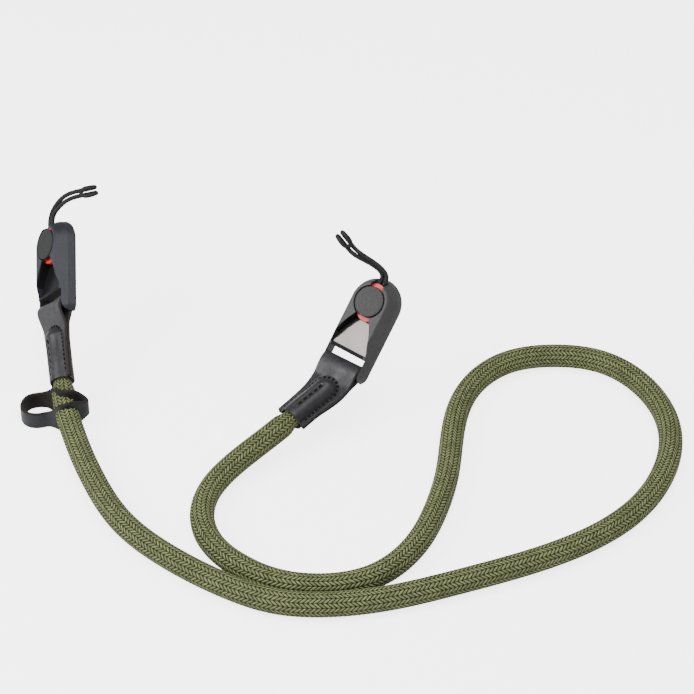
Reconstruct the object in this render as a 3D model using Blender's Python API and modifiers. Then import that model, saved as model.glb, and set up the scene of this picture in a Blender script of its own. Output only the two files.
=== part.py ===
"""Rope strap with two quick-release ends, laid in a loose S as it lies beside the thing it carries.

Metres, +Z up. The origin is the middle of the right-hand lug loop, where the strap is hung on.
The rope lies on a surface REST_HEIGHT below it. Each end of the rope runs into a folded leather
tab, the tab goes round the bar of a plastic housing, and a round anchor disc sits in the housing.
A thin cord joins the disc to a lark's-head loop. A slit leather keeper rides on the rope.
"""
import math

import bmesh
import bpy
import numpy as np
from mathutils import Matrix, Vector

# Rope
ROPE_DIAMETER = 0.0109
ROPE_END_DIAMETER = 0.0084      # squeezed inside the leather
ROPE_TAPER = 0.006              # length over which it opens out again
ROPE_INSIDE = 0.022             # length held in each tab
ROPE_POINTS = 76
ROPE_BEVEL = 4                  # 12 sides round
REST_HEIGHT = 0.076             # from the surface up to the lug loops
CLEARANCE = 0.0003              # gap between pieces that touch

# Leather tab
LEATHER = 0.0011                # wall over the rope
STRAP_WALL = 0.00115            # wall round the bar
TAB_WIDTH = 0.0196              # at the bar
TAB_END_WIDTH = 0.0155          # where the rope comes out
TAB_FLAT = 0.0035               # two layers sewn together

# Housing, about the centre of the disc: x across, y towards the cord, z out of the face
HOUSING_WIDTH = 0.0252          # across the back, the widest place
FACE_WIDTH = 0.0184             # across the face, the sides sloping in to it
HOUSING_THICKNESS = 0.0098
BAR_DROP = 0.0324               # disc centre to bar centre
BAR_HEIGHT = 0.0033
BAR_THICKNESS = 0.0036
RAIL_WIDTH = 0.0021
RAIL_PAST_BAR = 0.0028          # the rails reach this far past the bar
FOOT_ROUND = 0.0045             # radius of the rails' lower ends, seen from the face
SLOT_HEIGHT = 0.0054
CROSS_WALL = 0.0015             # between the slot and the ramp
CROSS_DEPTH = 0.0020            # its top below the face
RAMP_WIDTH = 0.0198             # ramp recess at the cross wall
RAMP_START_DEPTH = 0.0050       # below the face at the disc
RAMP_END_DEPTH = 0.0034         # below the face at the cross wall
RAMP_PLATE = 0.0014
NOTCH_WIDTH = 0.0066            # way out for the cord

# Anchor disc
POCKET_DEPTH = 0.0044
RING_HALF_WIDTH = 0.0074        # the red layer is longer than the cap, so it shows at both ends
RING_HALF_LENGTH = 0.0092
RING_LAYER = 0.0016
CAP_RADIUS = 0.0073
CAP_PROUD = 0.0003              # top of the cap over the housing's face
CAP_ROUND = 0.0004

# Lug cord
CORD_DIAMETER = 0.0021
CORD_POINTS = 80
LUG_HOLE = 0.0024               # what the lark's head closes on

# Keeper
KEEPER_WALL = 0.0017
KEEPER_STRAND = 0.0030          # leather left above and below the rope
KEEPER_HEIGHT = 0.0086
KEEPER_ROWS = 72

# The strap's two ends: centre of the housing under its disc, direction down the strap, direction
# across the housing, the lug loop, the way the cord leaves that loop, the line that the lark's head
# closes on, how far the strands run before they part from the head, and how far the middle of the
# cord bows off the straight line
ENDS = {
    "right": dict(place=(0.0140, -0.0148, -0.0265), down=(-0.447, -0.524, -0.725),
                  across=(0.783, -0.621, -0.034), lug=(0.0, 0.0, 0.0), leave=(0.62, -0.35, -0.70),
                  bar=(0.85, 0.30, 0.40), stem=0.0066, bow=(0.0010, 0.0005, 0.0007)),
    "left": dict(place=(-0.1368, 0.0295, -0.0262), down=(0.047, -0.858, -0.512),
                 across=(0.572, -0.397, 0.718), lug=(-0.1185, 0.0375, 0.0), leave=(-0.97, -0.05, -0.22),
                 bar=(0.17, -0.40, -0.61), stem=0.0080, bow=(-0.0019, 0.0010, 0.0013)),
}

# Middle of the rope from inside the right tab to inside the left one, chosen by hand
ROPE_ROUTE = [
    (-0.0083, -0.0417, -0.0559), (-0.0160, -0.0493, -0.0582), (-0.0237, -0.0568, -0.0605),
    (-0.0351, -0.0672, -0.0638), (-0.0490, -0.0796, -0.0678), (-0.0590, -0.0941, -0.0700),
    (-0.0620, -0.1113, -0.0705), (-0.0565, -0.1295, -0.0705), (-0.0445, -0.1429, -0.0705),
    (-0.0300, -0.1518, -0.0705), (-0.0100, -0.1555, -0.0705), (0.0120, -0.1503, -0.0705),
    (0.0305, -0.1318, -0.0705), (0.0410, -0.1075, -0.0705), (0.0472, -0.0810, -0.0705),
    (0.0510, -0.0500, -0.0705), (0.0610, -0.0200, -0.0705), (0.0790, -0.0028, -0.0705),
    (0.1000, 0.0017, -0.0705), (0.1220, -0.0026, -0.0705), (0.1425, -0.0240, -0.0705),
    (0.1499, -0.0570, -0.0705), (0.1440, -0.0830, -0.0705), (0.1280, -0.1090, -0.0705),
    (0.1070, -0.1268, -0.0705), (0.0810, -0.1406, -0.0705), (0.0500, -0.1528, -0.0705),
    (0.0200, -0.1627, -0.0705), (-0.0080, -0.1668, -0.0705), (-0.0290, -0.1647, -0.0705),
    (-0.0495, -0.1555, -0.0705), (-0.0740, -0.1385, -0.0705), (-0.0970, -0.1150, -0.0705),
    (-0.1110, -0.0890, -0.0705), (-0.1190, -0.0690, -0.0702), (-0.1242, -0.0540, -0.0690),
    (-0.1279, -0.0420, -0.0664), (-0.1303, -0.0290, -0.0615), (-0.1320, -0.0192, -0.0568),
    (-0.1336, -0.0094, -0.0520),
]

# Keeper seen from above, as a closed loop: x, y, height of its middle over the rest surface,
# and its height as a share of the way from KEEPER_HEIGHT to the height at the rope
KEEPER_ROUTE = [
    (-0.1282, -0.0404, 0.0100, 1.00), (-0.1237, -0.0398, 0.0103, 0.85), (-0.1200, -0.0398, 0.0103, 0.25),
    (-0.1180, -0.0416, 0.0102, 0.00), (-0.1204, -0.0438, 0.0096, 0.25), (-0.1236, -0.0452, 0.0086, 0.75),
    (-0.1268, -0.0466, 0.0080, 0.85), (-0.1303, -0.0465, 0.0076, 0.70), (-0.1336, -0.0447, 0.0055, 0.20),
    (-0.1368, -0.0438, 0.0044, 0.00), (-0.1400, -0.0446, 0.0043, 0.00), (-0.1445, -0.0443, 0.0043, 0.00),
    (-0.1480, -0.0412, 0.0043, 0.00), (-0.1486, -0.0360, 0.0043, 0.00), (-0.1462, -0.0315, 0.0044, 0.00),
    (-0.1420, -0.0300, 0.0045, 0.00), (-0.1378, -0.0312, 0.0059, 0.15), (-0.1338, -0.0350, 0.0086, 0.70),
]

# Materials: colour, roughness and metallic value
FINISHES = {
    "braided_cord_olive": ((0.145, 0.165, 0.055), 0.75, 0.0),
    "leather_black": ((0.035, 0.035, 0.038), 0.55, 0.0),
    "plastic_grey": ((0.062, 0.064, 0.070), 0.50, 0.0),
    "plastic_gloss_black": ((0.010, 0.010, 0.011), 0.15, 0.0),
    "disc_grey": ((0.110, 0.110, 0.112), 0.55, 0.0),
    "disc_red": ((0.700, 0.045, 0.035), 0.40, 0.0),
    "cord_black": ((0.020, 0.020, 0.022), 0.70, 0.0),
}


def clear_scene():
    for thing in list(bpy.data.objects):
        bpy.data.objects.remove(thing, do_unlink=True)


def new_collection(name):
    collection = bpy.data.collections.new(name)
    bpy.context.scene.collection.children.link(collection)
    return collection


def finish(name):
    """A Principled material, one for each piece that asks for it."""
    colour, roughness, metallic = FINISHES[name]
    material = bpy.data.materials.new(name)
    material.use_nodes = True
    shader = material.node_tree.nodes["Principled BSDF"]
    shader.inputs["Base Color"].default_value = (*colour, 1.0)
    shader.inputs["Roughness"].default_value = roughness
    shader.inputs["Metallic"].default_value = metallic
    return material


def add_object(name, data, collection, material=None, parent=None):
    thing = bpy.data.objects.new(name, data)
    collection.objects.link(thing)
    if material is not None:
        data.materials.append(finish(material))
    if parent is not None:
        thing.parent = parent
    return thing


def add_cutter(name, data, parent=None):
    cutter = add_object(name, data, CUTTERS, parent=parent)
    cutter.hide_render = True
    cutter.display_type = "WIRE"
    return cutter


def cut(thing, cutter):
    modifier = thing.modifiers.new(cutter.name, "BOOLEAN")
    modifier.operation = "DIFFERENCE"
    modifier.solver = "EXACT"
    modifier.object = cutter


def mesh_of_bmesh(name, work):
    bmesh.ops.recalc_face_normals(work, faces=work.faces)
    mesh = bpy.data.meshes.new(name)
    work.to_mesh(mesh)
    work.free()
    return mesh


def cylinder_mesh(name, radius, low, high, sides=40, y_share=1.0):
    """A disc between two heights, squashed across y by y_share."""
    work = bmesh.new()
    bmesh.ops.create_cone(work, cap_ends=True, segments=sides, radius1=radius, radius2=radius,
                          depth=high - low, matrix=Matrix.Translation((0, 0, (low + high) / 2)))
    bmesh.ops.scale(work, vec=(1, y_share, 1), verts=work.verts)
    return mesh_of_bmesh(name, work)


def wedge_mesh(name, y_range, half_widths, floors, tops):
    """A block between two places along y, each with its own half width, floor and top height."""
    work = bmesh.new()
    bmesh.ops.create_cube(work, size=2.0)
    for vertex in work.verts:
        end = 1 if vertex.co.y > 0 else 0
        side = 1 if vertex.co.x > 0 else -1
        height = tops[end] if vertex.co.z > 0 else floors[end]
        vertex.co = Vector((side * half_widths[end], y_range[end], height))
    return mesh_of_bmesh(name, work)


def loft_mesh(name, rows, closed):
    """Rings of equal size joined in order; an open loft is closed by a face at each end."""
    rings = np.asarray(rows, float)
    count, around = rings.shape[:2]
    index = np.arange(count * around).reshape(count, around)
    lower = index if closed else index[:-1]
    upper = np.roll(index, -1, axis=0)[:len(lower)]
    quads = np.stack([lower, np.roll(lower, -1, axis=1), np.roll(upper, -1, axis=1), upper], axis=-1)
    faces = [tuple(int(v) for v in face) for face in quads.reshape(-1, 4)]
    if not closed:
        faces.append(tuple(int(v) for v in index[0][::-1]))
        faces.append(tuple(int(v) for v in index[-1]))
    mesh = bpy.data.meshes.new(name)
    mesh.from_pydata([tuple(v) for v in rings.reshape(-1, 3)], [], faces)
    work = bmesh.new()
    work.from_mesh(mesh)
    bmesh.ops.recalc_face_normals(work, faces=work.faces)
    work.to_mesh(mesh)
    work.free()
    return mesh


def smooth_curve(points):
    """Close points on the natural cubic spline through the given ones, and each one's distance along."""
    knots = np.asarray(points, float)
    step = np.linalg.norm(np.diff(knots[:, :3], axis=0), axis=1)
    place = np.concatenate(([0.0], np.cumsum(step)))
    size = len(knots)
    matrix = np.zeros((size, size))
    right = np.zeros((size, knots.shape[1]))
    matrix[0, 0] = matrix[-1, -1] = 1.0
    row = np.arange(1, size - 1)
    matrix[row, row - 1] = step[:-1]
    matrix[row, row] = 2 * (step[:-1] + step[1:])
    matrix[row, row + 1] = step[1:]
    slope = np.diff(knots, axis=0) / step[:, None]
    right[1:-1] = 6 * np.diff(slope, axis=0)
    bend = np.linalg.solve(matrix, right)
    fine = np.linspace(0.0, place[-1], 40 * size)
    k = np.clip(np.searchsorted(place, fine, side="right") - 1, 0, size - 2)
    width = step[k][:, None]
    after = (fine - place[k])[:, None]
    before = width - after
    curve = ((bend[k] * before ** 3 + bend[k + 1] * after ** 3) / (6 * width)
             + (knots[k] / width - bend[k] * width / 6) * before
             + (knots[k + 1] / width - bend[k + 1] * width / 6) * after)
    along = np.concatenate(([0.0], np.cumsum(np.linalg.norm(np.diff(curve[:, :3], axis=0), axis=1))))
    return curve, along


def at_distance(line, wanted):
    """Points of a smooth curve at the wanted distances along it."""
    curve, along = line
    return np.stack([np.interp(wanted, along, column) for column in curve.T], axis=-1)


def tube_curve(name, path, radii, bevel_resolution):
    """A round bar along a path, as a poly spline with filled caps and its own radius at each point."""
    curve = bpy.data.curves.new(name, "CURVE")
    curve.dimensions = "3D"
    curve.bevel_depth = float(np.max(radii))
    curve.bevel_resolution = bevel_resolution
    curve.use_fill_caps = True
    spline = curve.splines.new("POLY")
    spline.points.add(len(path) - 1)
    share = np.broadcast_to(np.asarray(radii, float), (len(path),)) / curve.bevel_depth
    for point, place, radius in zip(spline.points, path, share):
        point.co = (*place, 1.0)
        point.radius = float(radius)
    return curve


def mesh_from(thing, name):
    """The evaluated mesh of a curve object, its caps welded; the curve object is removed."""
    bpy.context.view_layer.update()
    graph = bpy.context.evaluated_depsgraph_get()
    mesh = bpy.data.meshes.new_from_object(thing.evaluated_get(graph))
    mesh.name = name
    work = bmesh.new()
    work.from_mesh(mesh)
    bmesh.ops.remove_doubles(work, verts=work.verts, dist=0.000005)
    bmesh.ops.recalc_face_normals(work, faces=work.faces)
    work.to_mesh(mesh)
    work.free()
    bpy.data.objects.remove(thing, do_unlink=True)
    return mesh


def smooth_shade(mesh, degrees=35):
    mesh.shade_smooth()
    mesh.set_sharp_from_angle(angle=math.radians(degrees))


def end_frame(end):
    """The housing's axes and place as one matrix: across, up the strap, out of the face."""
    down = Vector(end["down"]).normalized()
    across = Vector(end["across"])
    across = (across - across.dot(down) * down).normalized()
    out = across.cross(-down)
    matrix = Matrix((across, -down, out)).transposed().to_4x4()
    matrix.translation = Vector(end["place"])
    return matrix


# Heights and places in the housing that several pieces share
FACE = HOUSING_THICKNESS / 2
POCKET_FLOOR = FACE - POCKET_DEPTH
POCKET_RADIUS = CAP_RADIUS + 2 * CLEARANCE
RING_LOW = POCKET_FLOOR + CLEARANCE
RING_HIGH = RING_LOW + RING_LAYER
CAP_LOW = RING_HIGH + CLEARANCE
CAP_HIGH = FACE + CAP_PROUD
CORD_RADIUS = CORD_DIAMETER / 2
CORD_LEVEL = (RING_LOW + RING_HIGH) / 2
STRAND_OFFSET = CORD_RADIUS + CLEARANCE / 2
BAR_TOP = -(BAR_DROP - BAR_HEIGHT / 2)
SLOT_TOP = BAR_TOP + SLOT_HEIGHT
RAMP_END = SLOT_TOP + CROSS_WALL
BAR_FOOT = -(BAR_DROP + BAR_HEIGHT / 2)
HOUSING_END = BAR_FOOT - RAIL_PAST_BAR
INNER_HALF = HOUSING_WIDTH / 2 - RAIL_WIDTH
OVER = 0.004                    # how far a cutter reaches past what it cuts


# Housing section from the back to the face: height as a share of the thickness, and half width as
# a share of the way from the face's half width to the back's
HOUSING_SECTION = [(0.00, 0.80), (0.04, 0.93), (0.13, 1.00), (0.45, 0.80), (0.94, 0.10), (1.00, -0.06)]

# Ramp recess seen from the face: place as a share of the way from the disc's centre to the cross
# wall, and half width as a share of RAMP_WIDTH / 2
RAMP_OUTLINE = [(0.16, 0.20), (0.31, 0.37), (0.45, 0.58), (0.63, 0.79), (0.76, 0.89), (0.90, 0.97),
                (1.00, 1.00)]


def housing_ring(height, half):
    """Outline at one height: half-round top about the disc, straight sides, round lower corners."""
    top = [(half * math.cos(a), half * math.sin(a)) for a in np.linspace(0, math.pi, 29)]
    left = [(-half + FOOT_ROUND * (1 - math.cos(a)), HOUSING_END + FOOT_ROUND * (1 - math.sin(a)))
            for a in np.linspace(0, math.pi / 2, 6)]
    right = [(-x, y) for x, y in reversed(left)]
    return [(x, y, height) for x, y in top + left + right]


def ramp_at(y):
    """Half width and top height of the ramp at a place along the housing."""
    places = [share * RAMP_END for share, _ in reversed(RAMP_OUTLINE)]
    halves = [share * RAMP_WIDTH / 2 for _, share in reversed(RAMP_OUTLINE)]
    rise = (y - RAMP_END) / (-POCKET_RADIUS - RAMP_END)
    depth = RAMP_END_DEPTH + (RAMP_START_DEPTH - RAMP_END_DEPTH) * rise
    return float(np.interp(y, places, halves)), FACE - depth


def ramp_mesh(name, low, high, margin, floor_drop, top=None):
    """A block with the ramp's outline between two places along the housing, or the room for it."""
    inside = [share * RAMP_END for share, _ in reversed(RAMP_OUTLINE) if low < share * RAMP_END < high]
    rings = []
    for y in [low] + inside + [high]:
        half, height = ramp_at(y)
        half += margin
        floor = height - floor_drop
        ceiling = height if top is None else top
        rings.append([(-half, y, floor), (half, y, floor), (half, y, ceiling), (-half, y, ceiling)])
    return loft_mesh(name, rings, closed=False)


def add_housing(side, frame):
    """The flat body of a quick-release end, with its disc pocket, ramp recess, slot and bar."""
    spread = (HOUSING_WIDTH - FACE_WIDTH) / 2
    rings = [housing_ring(height * HOUSING_THICKNESS - FACE, FACE_WIDTH / 2 + share * spread)
             for height, share in HOUSING_SECTION]
    name = f"connector_housing_{side}"
    body = add_object(name, loft_mesh(name, rings, closed=False), PARTS, "plastic_grey", frame)

    notch_floor = CORD_LEVEL - CORD_RADIUS - CLEARANCE
    above = (FACE + OVER, FACE + OVER)
    below = (-FACE - OVER, -FACE - OVER)
    bar_front = (BAR_THICKNESS / 2, BAR_THICKNESS / 2)
    bar_back = (-BAR_THICKNESS / 2, -BAR_THICKNESS / 2)
    inner = (INNER_HALF, INNER_HALF)
    bar_ends = (HOUSING_END - OVER, (BAR_TOP + SLOT_TOP) / 2)
    notch_ends = (0.0, HOUSING_WIDTH / 2 + OVER)
    cross_ends = ((BAR_TOP + SLOT_TOP) / 2, RAMP_END + CLEARANCE)
    cross_half = [ramp_at(y)[0] + CLEARANCE for y in cross_ends]
    ring_room = cylinder_mesh("ring_room", RING_HALF_WIDTH + CLEARANCE, POCKET_FLOOR, RING_HIGH + CLEARANCE,
                              y_share=(RING_HALF_LENGTH + CLEARANCE) / (RING_HALF_WIDTH + CLEARANCE))
    cutters = {
        "pocket": cylinder_mesh("pocket", POCKET_RADIUS, RING_LOW, FACE + OVER),
        "ring_room": ring_room,
        "ramp_recess": ramp_mesh("ramp_recess", RAMP_END, -POCKET_RADIUS / 2, CLEARANCE,
                                 RAMP_PLATE + CLEARANCE, FACE + OVER),
        "cross_top": wedge_mesh("cross_top", cross_ends, cross_half, (FACE - CROSS_DEPTH,) * 2, above),
        "cord_notch": wedge_mesh("cord_notch", notch_ends, (NOTCH_WIDTH / 2,) * 2, (notch_floor,) * 2, above),
        "slot": wedge_mesh("slot", (BAR_TOP, SLOT_TOP), inner, below, above),
        "bar_front": wedge_mesh("bar_front", bar_ends, inner, bar_front, above),
        "bar_back": wedge_mesh("bar_back", bar_ends, inner, below, bar_back),
        "foot_gap": wedge_mesh("foot_gap", (HOUSING_END - OVER, BAR_FOOT), inner, below, above),
    }
    for label, shape in cutters.items():
        cut(body, add_cutter(f"cut_{label}_{side}", shape, frame))


def add_ramp(side, frame):
    """The glossy plate that the disc slides up, lying in the recess."""
    name = f"release_ramp_{side}"
    shape = ramp_mesh(name, RAMP_END + CLEARANCE, -RING_HALF_LENGTH - CLEARANCE, 0.0, RAMP_PLATE)
    add_object(name, shape, PARTS, "plastic_gloss_black", frame)


def add_anchor(side, frame):
    """The red layer and the round grey cap of the disc; the layer shows past the cap at both ends."""
    layer = cylinder_mesh(f"anchor_ring_{side}", RING_HALF_WIDTH, RING_LOW, RING_HIGH,
                          y_share=RING_HALF_LENGTH / RING_HALF_WIDTH)
    add_object(f"anchor_ring_{side}", layer, PARTS, "disc_red", frame)
    cap = cylinder_mesh(f"anchor_disc_{side}", CAP_RADIUS, CAP_LOW, CAP_HIGH)
    body = add_object(f"anchor_disc_{side}", cap, PARTS, "disc_grey", frame)
    rounding = body.modifiers.new("edge_round", "BEVEL")
    rounding.width = CAP_ROUND
    rounding.segments = 2
    rounding.limit_method = "ANGLE"
    rounding.angle_limit = math.radians(50)


def lug_cord_route(end, frame):
    """Up one strand from the disc, through the lark's head and down the other strand."""
    lug = Vector(end["lug"])
    leave = Vector(end["leave"]).normalized()
    bar = Vector(end["bar"])
    bar = (bar - bar.dot(leave) * leave).normalized()
    front = bar.cross(leave)
    if front.z < 0:
        front = -front
    turns = frame.to_3x3()
    across = turns @ Vector((1, 0, 0))
    start = frame @ Vector((0, RING_HALF_LENGTH + CLEARANCE, CORD_LEVEL))
    rim = frame @ Vector((0, HOUSING_WIDTH / 2, CORD_LEVEL))
    foot = lug + end["stem"] * leave - 0.3 * CORD_DIAMETER * front
    middle = (rim + foot) / 2 + Vector(end["bow"])
    stem = [(start, 0.0), (rim, 0.0), (middle, 0.5), (foot, 0.9)]
    first = []
    second = []
    for place, share in stem:
        spread = ((1 - share) * across + share * bar).normalized() * STRAND_OFFSET
        first.append(place + spread)
        second.append(place - spread)
    # The lark's head in its own directions, as shares of the wrap radius: bar, leave, front
    wrap = LUG_HOLE / 2 + CORD_RADIUS
    head = [(1.0, 1.75, -0.75), (1.0, 0.55, -1.0), (1.05, -0.70, -0.70), (1.2, -1.0, 0.0), (1.4, -0.45, 0.85),
            (1.5, 0.55, 1.05), (1.3, 1.35, 0.85), (0.75, 1.85, 0.65)]
    crossing = [(0.0, 2.0, 0.6)]
    mirror = [(-b, d, f) for b, d, f in reversed(head)]
    loop = [lug + b * STRAND_OFFSET * bar + d * wrap * leave + f * wrap * front
            for b, d, f in head + crossing + mirror]
    return first + loop + second[::-1]


def add_lug_cord(side, end, frame):
    """Both strands and the lark's head as one continuous cord."""
    line = smooth_curve([tuple(point) for point in lug_cord_route(end, frame)])
    path = at_distance(line, np.linspace(0.0, line[1][-1], CORD_POINTS))
    curve = tube_curve(f"lug_cord_{side}", path, CORD_RADIUS, 2)
    add_object(f"lug_cord_{side}", curve, PARTS, "cord_black")


def rope_points(line):
    """The rope's own points and radii: squeezed inside each tab, full size just past its end."""
    length = line[1][-1]
    held = np.array([0.0, ROPE_INSIDE / 2, ROPE_INSIDE])
    open_from = ROPE_INSIDE + ROPE_TAPER
    free = np.linspace(open_from, length - open_from, ROPE_POINTS - 2 * len(held))
    wanted = np.concatenate((held, free, length - held[::-1]))
    small = ROPE_END_DIAMETER / 2
    from_end = np.minimum(wanted, length - wanted)
    share = np.clip((from_end - ROPE_INSIDE) / ROPE_TAPER, 0.0, 1.0)
    return at_distance(line, wanted), small + (ROPE_DIAMETER / 2 - small) * share


# Tab sections: share of the way from the bar to the end, width as a share of the change from
# TAB_WIDTH to TAB_END_WIDTH, thickness of the flat as a share of the change from the loop round
# the bar to TAB_FLAT, and height of the ridge over the rope as a share of its full height
TAB_SECTIONS = [
    (0.00, 0.00, 0.00, 0.00), (0.06, 0.00, 0.12, 0.00), (0.12, 0.00, 0.55, 0.00), (0.18, 0.05, 0.90, 0.00),
    (0.23, 0.10, 1.00, 0.30), (0.28, 0.18, 1.00, 0.70), (0.34, 0.30, 1.00, 0.95), (0.38, 0.40, 1.00, 1.00),
    (0.50, 0.62, 1.00, 1.00), (0.62, 0.80, 1.00, 1.00), (0.75, 0.92, 1.00, 1.00), (0.88, 1.00, 1.00, 1.00),
    (1.00, 1.00, 1.00, 1.00),
]
TAB_FOLD_TURNS = (78, 60, 40, 20)    # degrees round the bar, from its far side to its middle
TAB_COLUMNS = (-1.0, -0.9, -0.72, -0.58, -0.4, -0.2, 0.0, 0.2, 0.4, 0.58, 0.72, 0.9, 1.0)


def bar_loop_radius():
    """Outside of the leather where it goes round the bar."""
    bar_corner = math.hypot(BAR_HEIGHT / 2, BAR_THICKNESS / 2)
    return bar_corner + CLEARANCE + STRAP_WALL


def add_tab(side, frame, rope_path, empty):
    """A leather strip folded round the bar, sewn flat and moulded over the end of the rope."""
    bar = frame @ Vector((0, -BAR_DROP, 0))
    pull = (Vector(rope_path[0]) - bar).normalized()
    across = np.array(frame.to_3x3() @ Vector((1, 0, 0)))
    loop = bar_loop_radius()
    middle = smooth_curve([tuple(bar - loop * pull), tuple(bar)] + [tuple(point) for point in rope_path[:3]])
    bar_place = middle[1][np.linalg.norm(middle[0] - np.array(bar), axis=1).argmin()]
    length = middle[1][-1] - bar_place
    ridge_full = ROPE_END_DIAMETER / 2 + CLEARANCE + LEATHER
    fold = [(-math.sin(turn) * loop, TAB_WIDTH / 2, math.cos(turn) * loop, 0.0)
            for turn in np.radians(TAB_FOLD_TURNS)]
    rows = fold + [(share * length, (TAB_WIDTH + (TAB_END_WIDTH - TAB_WIDTH) * narrowing) / 2,
                    loop + (TAB_FLAT / 2 - loop) * flattening, ridge_full * ridge)
                   for share, narrowing, flattening, ridge in TAB_SECTIONS]
    columns = np.array(TAB_COLUMNS)
    rings = []
    for place, half_width, flat, ridge in rows:
        behind, centre, ahead = at_distance(middle, bar_place + place + np.array([-LEATHER, 0.0, LEATHER]))
        forward = (ahead - behind) / np.linalg.norm(ahead - behind)
        wide = across - across @ forward * forward
        wide /= np.linalg.norm(wide)
        thick = np.cross(wide, -forward)
        x = columns * half_width
        bump = np.sqrt(np.maximum(ridge ** 2 - x ** 2, 0.0))
        height = (flat ** 4 + bump ** 4) ** 0.25
        upper = centre + x[:, None] * wide + height[:, None] * thick
        lower = centre + x[::-1, None] * wide - height[::-1, None] * thick
        rings.append(np.concatenate((upper, lower)))
    name = f"leather_tab_{side}"
    body = add_object(name, loft_mesh(name, rings, closed=False), PARTS, "leather_black")
    hole = cylinder_mesh("bar_hole", loop - STRAP_WALL, -HOUSING_WIDTH / 2, HOUSING_WIDTH / 2, sides=20)
    hole.transform(Matrix.Translation((0, -BAR_DROP, 0)) @ Matrix.Rotation(math.pi / 2, 4, "Y"))
    cut(body, add_cutter(f"cut_bar_hole_{side}", hole, empty))
    bore_path = rope_path[:4].copy()
    bore_path[0] += CLEARANCE * (bore_path[0] - bore_path[1]) / np.linalg.norm(bore_path[0] - bore_path[1])
    bore = tube_curve("rope_bore", bore_path, ROPE_END_DIAMETER / 2 + CLEARANCE, ROPE_BEVEL)
    bore_mesh = mesh_from(add_object("rope_bore", bore, PARTS), "rope_bore")
    cut(body, add_cutter(f"cut_rope_bore_{side}", bore_mesh))


def add_keeper(rope_path):
    """A leather strip bent into a closed loop and slit twice for the rope to pass through."""
    full = ROPE_DIAMETER + 2 * (CLEARANCE + KEEPER_STRAND)
    knots = np.array(KEEPER_ROUTE * 3, float)
    line = smooth_curve(knots)
    passes = np.linalg.norm(line[0] - knots[0], axis=1)
    third = len(passes) // 3
    first = line[1][third // 2 + passes[third // 2:third + third // 2].argmin()]
    last = line[1][third + third // 2 + passes[third + third // 2:2 * third + third // 2].argmin()]
    loop = at_distance(line, np.linspace(first, last, KEEPER_ROWS + 1)[:-1])
    centre = loop[:, :3] - np.array([0.0, 0.0, REST_HEIGHT])
    half = (KEEPER_HEIGHT + (full - KEEPER_HEIGHT) * np.clip(loop[:, 3], 0.0, 1.0)) / 2
    forward = np.roll(centre, -1, axis=0) - np.roll(centre, 1, axis=0)
    sideways = np.stack([forward[:, 1], -forward[:, 0], np.zeros(len(loop))], axis=1)
    sideways *= KEEPER_WALL / 2 / np.linalg.norm(sideways, axis=1)[:, None]
    lift = np.stack([np.zeros(len(loop)), np.zeros(len(loop)), half], axis=1)
    rings = np.stack([centre + sideways - lift, centre + sideways + lift,
                      centre - sideways + lift, centre - sideways - lift], axis=1)
    body = add_object("keeper_loop", loft_mesh("keeper_loop", rings, closed=True), PARTS, "leather_black")
    passing = rope_path[np.linalg.norm(rope_path - centre[0], axis=1) < 3 * ROPE_DIAMETER]
    hole = tube_curve("rope_passage", passing, ROPE_DIAMETER / 2 + CLEARANCE, ROPE_BEVEL)
    hole_mesh = mesh_from(add_object("rope_passage", hole, PARTS), "rope_passage")
    cut(body, add_cutter("cut_rope_passage", hole_mesh))


clear_scene()
PARTS = new_collection("rope_strap")
CUTTERS = new_collection("cutters")

rope_line = smooth_curve(ROPE_ROUTE)
rope_places, rope_radii = rope_points(rope_line)
add_object("rope", tube_curve("rope", rope_places, rope_radii, ROPE_BEVEL), PARTS, "braided_cord_olive")
for side_name, side_end in ENDS.items():
    placing = end_frame(side_end)
    holder = bpy.data.objects.new(f"end_{side_name}", None)
    PARTS.objects.link(holder)
    holder.matrix_world = placing
    add_housing(side_name, holder)
    add_ramp(side_name, holder)
    add_anchor(side_name, holder)
    add_tab(side_name, placing, rope_places if side_name == "right" else rope_places[::-1], holder)
    add_lug_cord(side_name, side_end, placing)
add_keeper(rope_places)

for piece in PARTS.objects:
    if piece.type == "MESH":
        smooth_shade(piece.data)
bpy.context.view_layer.update()
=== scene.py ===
"""Rope neck strap with two quick-release ends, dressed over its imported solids.

Metres, +Z up. The origin is the middle of the right-hand lug loop, and the surface that the rope
lies on is 76 mm below it. Each section makes one piece or a pair of like pieces, and the last one
gives the moulded pieces their finishes.
"""
import math

import bpy
import numpy as np
from mathutils import Matrix, Vector


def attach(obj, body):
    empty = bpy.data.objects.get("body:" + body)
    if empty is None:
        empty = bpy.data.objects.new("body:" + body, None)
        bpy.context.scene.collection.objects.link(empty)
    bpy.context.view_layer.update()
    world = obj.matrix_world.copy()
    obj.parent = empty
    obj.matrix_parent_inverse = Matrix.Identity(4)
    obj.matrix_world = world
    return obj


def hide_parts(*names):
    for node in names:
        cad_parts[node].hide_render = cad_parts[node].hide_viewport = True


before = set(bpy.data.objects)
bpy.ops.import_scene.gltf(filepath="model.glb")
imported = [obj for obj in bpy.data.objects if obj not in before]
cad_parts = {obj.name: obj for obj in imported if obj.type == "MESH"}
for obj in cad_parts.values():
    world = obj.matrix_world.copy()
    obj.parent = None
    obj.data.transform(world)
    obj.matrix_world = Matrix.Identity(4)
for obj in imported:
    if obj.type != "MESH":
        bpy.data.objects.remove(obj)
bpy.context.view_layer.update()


# Camera.
# A long lens looks down at the strap at 38 degrees from the side that its two ends face. The focal
# length is given in image pixels, as it was found from the places of both ends in the picture.
IMAGE_SIDE = 694
FOCAL_PIXELS = 2500.0
SENSOR = 36.0
CAMERA_PLACE = (0.00183, -0.92740, 0.67388)
CAMERA_TILT = 51.5              # degrees up from straight down
camera_data = bpy.data.cameras.new("camera")
camera_data.sensor_width = SENSOR
camera_data.lens = FOCAL_PIXELS / IMAGE_SIDE * SENSOR
camera_data.clip_end = 20.0
camera = bpy.data.objects.new("camera", camera_data)
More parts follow.
